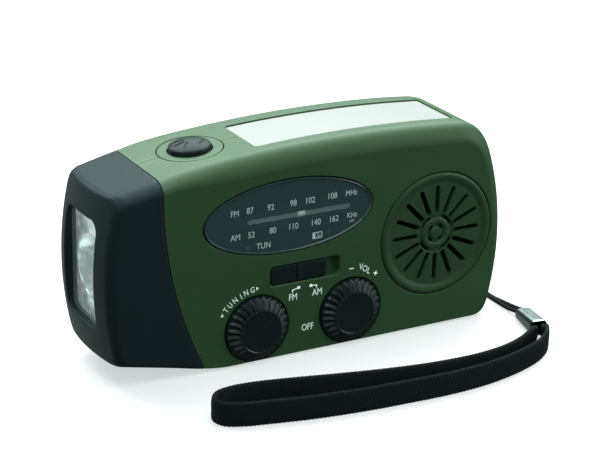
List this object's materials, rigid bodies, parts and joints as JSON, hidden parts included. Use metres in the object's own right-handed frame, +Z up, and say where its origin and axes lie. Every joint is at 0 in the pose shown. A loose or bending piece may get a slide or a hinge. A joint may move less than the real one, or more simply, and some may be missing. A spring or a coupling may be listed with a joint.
{
  "type": "emergency radio",
  "caption": "Hand-cranked emergency radio with a flashlight end, solar panel, oval tuning dial, round loudspeaker grille, knobs, band switch and wrist strap",
  "frame": {"origin": "centre of the body's footprint, strap left out, on the bottom face it stands on", "axes": "+X from the flashlight end to the loudspeaker end, -Y out of the dial face, +Z up"},
  "size_m": [0.1357, 0.0803, 0.0635],
  "materials": {
    "green_shell": "fine matte texture",
    "black_satin": "satin",
    "black_matte": "matte",
    "dial": "satin, printed in pale grey",
    "clear_plastic": "clear and glossy",
    "mirror_plating": "bright",
    "led_plastic": "glossy",
    "solar_cover": "frosted clear",
    "solar_cell": "glossy",
    "circuit_board": "satin",
    "steel": "brushed",
    "ferrite": "matte",
    "enamelled_wire": "enamelled",
    "nylon": "matte",
    "cell_wrap": "shrunk film",
    "cone_paper": "matte",
    "webbing": "woven",
    "clip_plating": "satin plated"
  },
  "bodies": {
    "case": {"front_shell": "green_shell", "rear_shell": "green_shell", "speaker_grille": "green_shell", "button_bezel": "green_shell", "flashlight_head": "black_satin", "dial_window": "dial", "lens": "clear_plastic", "reflector": "mirror_plating", "led_1": "led_plastic", "led_2": "led_plastic", "led_3": "led_plastic", "solar_cover": "solar_cover", "solar_cell": "solar_cell", "main_board": "circuit_board", "led_board": "circuit_board", "case_screw_1": "steel", "case_screw_2": "steel", "case_screw_3": "steel", "case_screw_4": "steel", "speaker_frame": "steel", "speaker_magnet": "steel", "volume_pot": "steel", "band_switch": "steel", "push_switch": "steel", "button_spring": "steel", "dynamo_motor": "steel", "idler_axle": "steel", "ferrite_rod": "ferrite", "antenna_coil": "enamelled_wire", "tuning_capacitor": "nylon", "battery_pack": "cell_wrap", "speaker_cone": "cone_paper", "strap_cord": "webbing", "strap_webbing": "webbing", "strap_clip": "clip_plating"},
    "tuning": {"tuning_knob": "black_matte", "tuning_pinion": "nylon"},
    "pointer": {"pointer_carriage": "nylon"},
    "volume": {"volume_knob": "black_matte"},
    "band": {"band_slider": "black_matte"},
    "light": {"light_button": "black_matte"},
    "crank": {"crank_disc": "black_matte", "crank_gear": "nylon", "crank_gear_screw": "steel", "crank_hinge_pin": "steel"},
    "arm": {"crank_arm": "black_matte", "grip_pin": "steel"},
    "grip": {"crank_grip": "black_matte"},
    "idler": {"idler_gear": "nylon"},
    "rotor": {"dynamo_pinion": "steel"}
  },
  "joints": [
    {"name": "tuning_turn", "type": "hinge", "parent": "case", "child": "tuning", "pos_m": [-0.01821, -0.01735, 0.0108], "axis": [0, 1, 0], "range_deg": [-135, 135]},
    {"name": "pointer_slide", "type": "slide", "parent": "case", "child": "pointer", "axis": [1, 0, 0], "range_m": [-0.0166, 0.0166]},
    {"name": "volume_turn", "type": "hinge", "parent": "case", "child": "volume", "pos_m": [0.01209, -0.01735, 0.0108], "axis": [0, 1, 0], "range_deg": [0, 300]},
    {"name": "band_slide", "type": "slide", "parent": "case", "child": "band", "axis": [1, 0, 0], "range_m": [0, 0.004]},
    {"name": "light_press", "type": "slide", "parent": "case", "child": "light", "axis": [0.1065, 0, -0.9943], "range_m": [0, 0.0014], "stiffness_N_per_m": 300, "deforming": ["button_spring"]},
    {"name": "crank_turn", "type": "hinge", "parent": "case", "child": "crank", "pos_m": [-0.00391, -0.01735, 0.0315], "axis": [0, 1, 0], "continuous": true},
    {"name": "crank_unfold", "type": "hinge", "parent": "crank", "child": "arm", "pos_m": [0.01309, 0.01905, 0.0315], "axis": [0, 0, -1], "range_deg": [0, 180]},
    {"name": "grip_spin", "type": "hinge", "parent": "arm", "child": "grip", "pos_m": [-0.02091, -0.01735, 0.0315], "axis": [0, 1, 0], "continuous": true},
    {"name": "idler_turn", "type": "hinge", "parent": "case", "child": "idler", "pos_m": [-0.02356, -0.01735, 0.02234], "axis": [0, 1, 0], "continuous": true},
    {"name": "rotor_turn", "type": "hinge", "parent": "case", "child": "rotor", "pos_m": [-0.03465, -0.01735, 0.03164], "axis": [0, 1, 0], "continuous": true}
  ],
  "couplings": [
    {"joint": "pointer_slide", "follows": "tuning_turn", "m_per_rad": 0.007},
    {"joint": "idler_turn", "follows": "crank_turn", "ratio": -3},
    {"joint": "rotor_turn", "follows": "crank_turn", "ratio": 9}
  ]
}
